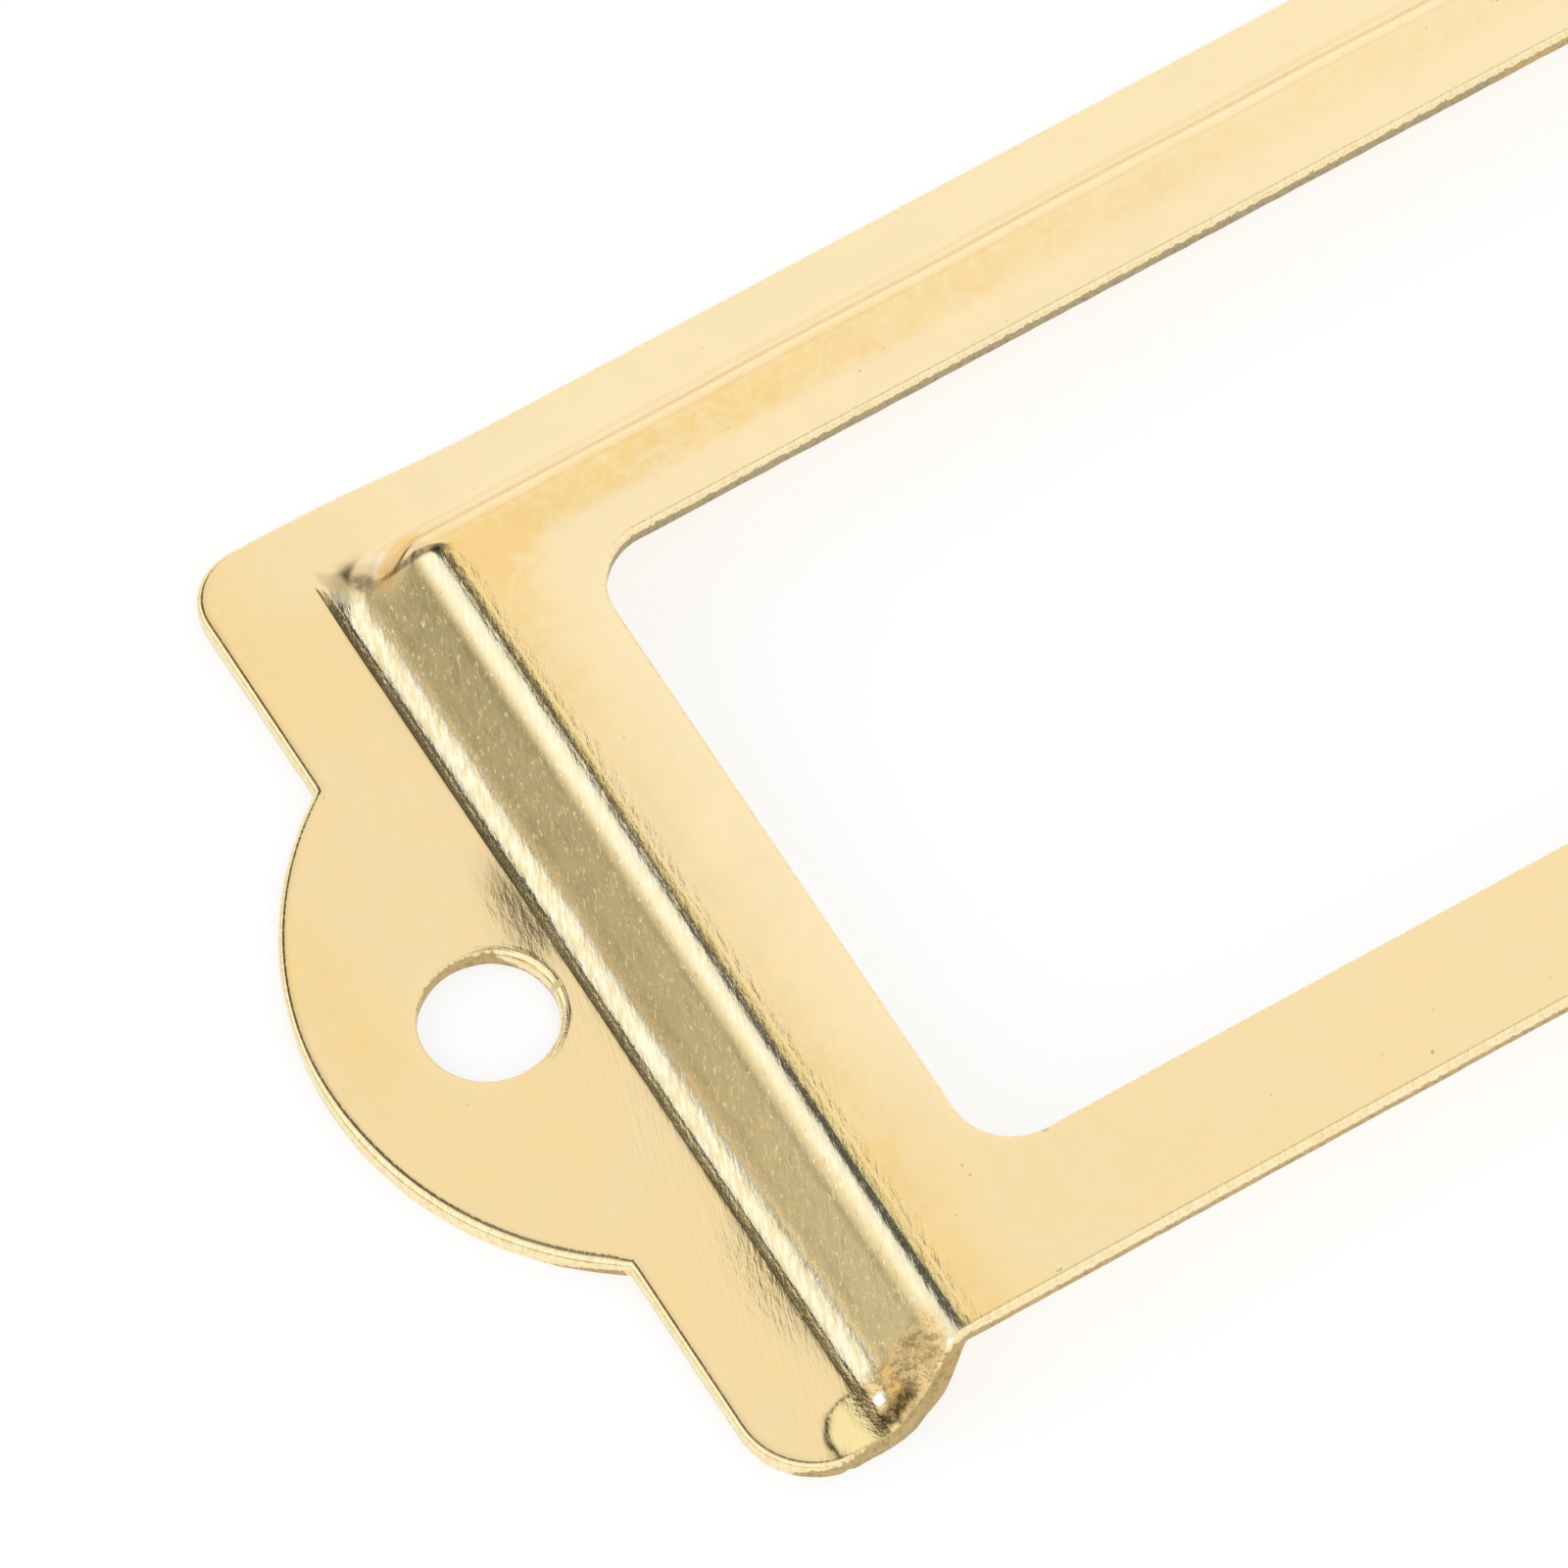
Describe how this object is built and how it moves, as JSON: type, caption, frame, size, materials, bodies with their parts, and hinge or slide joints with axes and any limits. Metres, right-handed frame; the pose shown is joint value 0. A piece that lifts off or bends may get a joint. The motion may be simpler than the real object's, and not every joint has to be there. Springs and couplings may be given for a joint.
{
  "type": "label frame",
  "caption": "Stamped label frame for a drawer front: a raised window panel open along one long side for a card, with a screw ear at each end.",
  "frame": {"origin": "middle of the back plane that lies against the drawer front", "axes": "+X along the frame, +Y from the open long side to the closed long side, +Z out of the drawer front"},
  "size_m": [0.0836, 0.0254, 0.0026],
  "materials": {
    "plated_sheet": "bright pale brass plating on stamped sheet, with fine scratches and brown cut edges"
  },
  "bodies": {
    "root": {"label_frame": "plated_sheet"}
  },
  "joints": []
}
